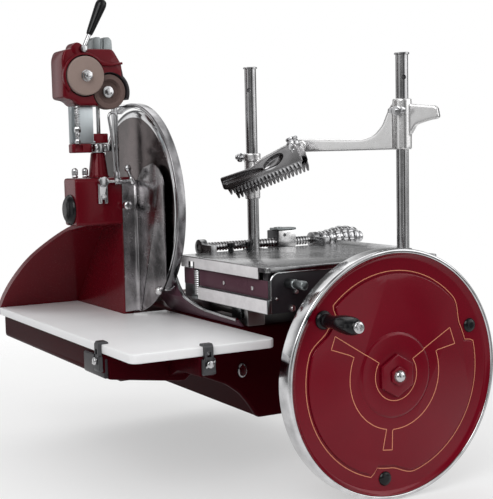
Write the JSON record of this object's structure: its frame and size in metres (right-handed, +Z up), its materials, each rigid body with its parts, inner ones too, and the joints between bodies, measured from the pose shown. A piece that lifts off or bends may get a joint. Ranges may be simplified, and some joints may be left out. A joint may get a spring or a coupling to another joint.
{
  "type": "hand crank meat slicer",
  "caption": "Red hand-cranked meat slicer with a flywheel, round knife, sliding meat table, toothed clamp, receiving board and swing-over knife sharpener.",
  "frame": {"origin": "the base's underside, straight behind the flywheel's axis, on the middle of the rib across the base's open bottom", "axes": "+X to the right, away from the receiving board; +Y away from the person at the crank; +Z up"},
  "size_m": [0.6248, 0.797, 0.7902],
  "materials": {
    "red_paint": "glossy dark red enamel",
    "chrome": "polished",
    "brushed_steel": "machined",
    "cast_aluminium": "satin casting",
    "dark_steel": "oiled dark metal",
    "black_plastic": "glossy black",
    "white_board": "satin white",
    "bronze": "machined bearing metal",
    "grinding_stone": "coarse abrasive stone",
    "honing_stone": "fine abrasive stone"
  },
  "bodies": {
    "frame": {"base_casting": "red_paint", "apron": "red_paint", "rail_left": "brushed_steel", "rail_right": "brushed_steel", "receiving_board": "white_board", "knife_casing": "red_paint", "chain_cover": "red_paint", "drive_chain": "dark_steel", "knife_bush": "bronze", "knife_shaft_cap": "black_plastic", "guard_ring": "chrome", "deflector_plate": "chrome", "sharpener_column": "red_paint", "oil_cup_outer": "chrome", "oil_cup_inner": "chrome", "link_bracket": "brushed_steel"},
    "flywheel_set": {"flywheel": "red_paint", "flywheel_shaft": "brushed_steel", "flywheel_nut": "chrome", "wheel_plug_right": "black_plastic", "wheel_plug_lower": "black_plastic", "handle_pin": "chrome", "bevel_pinion": "dark_steel"},
    "crank_grip": {"handle_grip": "black_plastic"},
    "cross_shaft_set": {"cross_shaft": "brushed_steel", "bevel_gear": "dark_steel", "crank_disc": "cast_aluminium", "drive_sprocket": "dark_steel"},
    "connecting_rod": {"connecting_rod": "dark_steel"},
    "knife_set": {"knife": "chrome", "knife_shaft": "brushed_steel", "knife_sprocket": "dark_steel"},
    "carriage": {"carriage": "cast_aluminium", "carriage_front_panel": "black_plastic", "feed_nut_box": "dark_steel"},
    "edge_roller": {"edge_roller": "brushed_steel"},
    "nut_release_lever": {"nut_release_lever": "chrome"},
    "table": {"meat_table": "chrome", "post_front": "chrome", "post_rear": "chrome"},
    "stop_screw_outer": {"stop_screw_outer": "black_plastic"},
    "stop_screw_inner": {"stop_screw_inner": "black_plastic"},
    "feed_screw_set": {"feed_screw": "brushed_steel", "thickness_regulator": "cast_aluminium"},
    "clamp": {"clamp_arm": "cast_aluminium"},
    "clamp_plate": {"clamp_plate": "chrome"},
    "clamp_screw_front": {"clamp_screw_front": "chrome"},
    "clamp_screw_rear": {"clamp_screw_rear": "chrome"},
    "sharpener_swivel": {"sharpener_swivel": "red_paint", "slide_guide": "cast_aluminium", "adjusting_spring": "chrome"},
    "adjusting_screw": {"adjusting_screw": "chrome"},
    "sharpener_head": {"sharpener_head": "red_paint"},
    "grinding_stone": {"grinding_stone": "grinding_stone"},
    "honing_stone": {"honing_stone": "honing_stone"},
    "sharpener_lever": {"sharpener_lever": "black_plastic"},
    "loop_handle": {"loop_handle": "chrome"},
    "deflector_knob": {"deflector_knob": "chrome"},
    "board_clip_left": {"board_clip_left": "chrome"},
    "board_clip_front": {"board_clip_front": "chrome"}
  },
  "joints": [
    {"name": "flywheel_turn", "type": "hinge", "parent": "frame", "child": "flywheel_set", "pos_m": [0, -0.385, 0.088], "axis": [0, 1, 0], "continuous": true},
    {"name": "grip_turn", "type": "hinge", "parent": "flywheel_set", "child": "crank_grip", "pos_m": [-0.12539, -0.43, 0.18248], "axis": [0, 1, 0], "continuous": true},
    {"name": "cross_shaft_turn", "type": "hinge", "parent": "frame", "child": "cross_shaft_set", "pos_m": [0, 0.16, 0.088], "axis": [1, 0, 0], "continuous": true},
    {"name": "rod_on_crank", "type": "hinge", "parent": "cross_shaft_set", "child": "connecting_rod", "pos_m": [0.083, 0.09, 0.088], "axis": [1, 0, 0], "continuous": true},
    {"name": "knife_turn", "type": "hinge", "parent": "frame", "child": "knife_set", "pos_m": [-0.19, 0.1, 0.333], "axis": [1, 0, 0], "continuous": true},
    {"name": "carriage_slide", "type": "slide", "parent": "frame", "child": "carriage", "axis": [0, 1, 0], "range_m": [0, 0.14]},
    {"name": "roller_turn", "type": "hinge", "parent": "carriage", "child": "edge_roller", "pos_m": [-0.162, -0.078, 0.21], "axis": [0, 0, 1], "continuous": true},
    {"name": "nut_lever_turn", "type": "hinge", "parent": "carriage", "child": "nut_release_lever", "pos_m": [0.052, 0.014, 0.285], "axis": [0, 0, 1], "range_deg": [0, 60]},
    {"name": "feed_screw_turn", "type": "hinge", "parent": "table", "child": "feed_screw_set", "pos_m": [0.03, 0.014, 0.26], "axis": [1, 0, 0], "range_deg": [-500, 4560]},
    {"name": "table_slide", "type": "slide", "parent": "carriage", "child": "table", "axis": [1, 0, 0], "range_m": [-0.01, 0.1]},
    {"name": "stop_screw_outer_turn", "type": "hinge", "parent": "table", "child": "stop_screw_outer", "pos_m": [-0.074, -0.034, 0.26], "axis": [0, 0, 1], "range_deg": [-180, 180]},
    {"name": "stop_screw_inner_turn", "type": "hinge", "parent": "table", "child": "stop_screw_inner", "pos_m": [-0.038, -0.034, 0.26], "axis": [0, 0, 1], "range_deg": [-180, 180]},
    {"name": "clamp_slide", "type": "slide", "parent": "table", "child": "clamp", "axis": [0, 0, 1], "range_m": [-0.06, 0.065]},
    {"name": "clamp_plate_tilt", "type": "hinge", "parent": "clamp", "child": "clamp_plate", "pos_m": [0.03571, -0.09513, 0.431], "axis": [-0.854, -0.5203, 0], "range_deg": [-10, 8]},
    {"name": "clamp_screw_front_turn", "type": "hinge", "parent": "clamp", "child": "clamp_screw_front", "pos_m": [0.1165, -0.2582, 0.484], "axis": [-0.854, -0.5203, 0], "range_deg": [-180, 180]},
    {"name": "clamp_screw_rear_turn", "type": "hinge", "parent": "clamp", "child": "clamp_screw_rear", "pos_m": [-0.0232, 0.0015, 0.415], "axis": [-0.5203, 0.854, 0], "range_deg": [-180, 180]},
    {"name": "sharpener_swing", "type": "hinge", "parent": "frame", "child": "sharpener_swivel", "pos_m": [-0.261, 0.1, 0.44], "axis": [0, 0, 1], "range_deg": [-60, 20]},
    {"name": "adjusting_screw_turn", "type": "hinge", "parent": "sharpener_swivel", "child": "adjusting_screw", "pos_m": [-0.309, 0.07, 0.47], "axis": [0, 0, 1], "range_deg": [-180, 180]},
    {"name": "head_lift", "type": "slide", "parent": "sharpener_swivel", "child": "sharpener_head", "axis": [0, 0, 1], "range_m": [0, 0.02], "deforming": ["adjusting_spring"]},
    {"name": "grinding_stone_turn", "type": "hinge", "parent": "sharpener_head", "child": "grinding_stone", "pos_m": [-0.294, 0.066, 0.56], "axis": [0, 1, 0], "continuous": true},
    {"name": "honing_stone_turn", "type": "hinge", "parent": "sharpener_head", "child": "honing_stone", "pos_m": [-0.247, 0.08, 0.534], "axis": [0, 1, 0], "continuous": true},
    {"name": "sharpener_lever_tilt", "type": "hinge", "parent": "sharpener_head", "child": "sharpener_lever", "pos_m": [-0.296, 0.0615, 0.605], "axis": [0, 1, 0], "range_deg": [-30, 10]},
    {"name": "loop_handle_swing", "type": "hinge", "parent": "frame", "child": "loop_handle", "pos_m": [-0.241, 0.064, 0.38], "axis": [1, 0, 0], "range_deg": [0, 40]},
    {"name": "deflector_knob_turn", "type": "hinge", "parent": "frame", "child": "deflector_knob", "pos_m": [-0.224, 0.061, 0.338], "axis": [0, 1, 0], "range_deg": [-180, 180]},
    {"name": "board_clip_left_open", "type": "hinge", "parent": "frame", "child": "board_clip_left", "pos_m": [-0.3913, -0.19, 0.1083], "axis": [0, -1, 0], "range_deg": [0, 80]},
    {"name": "board_clip_front_open", "type": "hinge", "parent": "frame", "child": "board_clip_front", "pos_m": [-0.268, -0.3083, 0.1083], "axis": [1, 0, 0], "range_deg": [0, 80]}
  ],
  "couplings": [
    {"joint": "cross_shaft_turn", "follows": "flywheel_turn", "ratio": 1},
    {"joint": "rod_on_crank", "follows": "flywheel_turn", "ratio": -1},
    {"joint": "knife_turn", "follows": "flywheel_turn", "ratio": 2.5},
    {"joint": "feed_screw_turn", "follows": "table_slide", "rad_per_m": 785.4}
  ]
}
